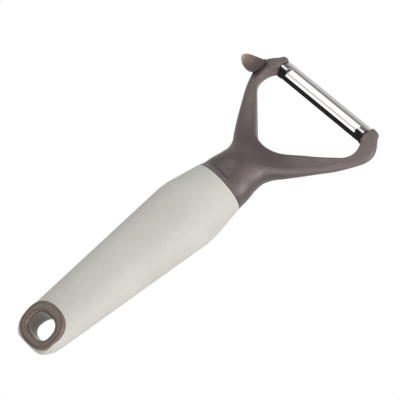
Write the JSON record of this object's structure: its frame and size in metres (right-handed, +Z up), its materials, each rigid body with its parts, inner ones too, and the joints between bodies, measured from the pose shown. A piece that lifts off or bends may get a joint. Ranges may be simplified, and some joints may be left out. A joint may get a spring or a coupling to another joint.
{
  "type": "vegetable peeler",
  "caption": "Y-shaped vegetable peeler with a fat soft-skinned handle, a forked yoke, a swivelling slotted blade, an eye remover scoop and a hanging hole",
  "frame": {"origin": "on the axis of the hanging hole, on the handle's own centre line", "axes": "+X runs from the tail to the blade, +Y is the eye remover's side, +Z is up through the blade's crown"},
  "size_m": [0.1688, 0.0803, 0.0246],
  "materials": {
    "soft_grip": "pale warm grey soft-touch rubber, matte",
    "hard_core": "moulded plastic, hidden under the skin",
    "eyelet_plastic": "taupe plastic, polished lip",
    "yoke_plastic": "taupe plastic, satin",
    "blade_steel": "stamped stainless steel with a ground edge",
    "pin_steel": "plain stainless steel"
  },
  "bodies": {
    "handle": {"grip": "soft_grip", "handle_core": "hard_core", "hanging_eyelet": "eyelet_plastic", "yoke": "yoke_plastic", "eye_remover": "yoke_plastic", "blade_pin_left": "pin_steel", "blade_pin_right": "pin_steel"},
    "blade": {"blade": "blade_steel"}
  },
  "joints": [
    {"name": "blade_swivel", "type": "hinge", "parent": "handle", "child": "blade", "pos_m": [0.1549, 0, 0], "axis": [0, 1, 0], "range_deg": [-20, 34]}
  ]
}
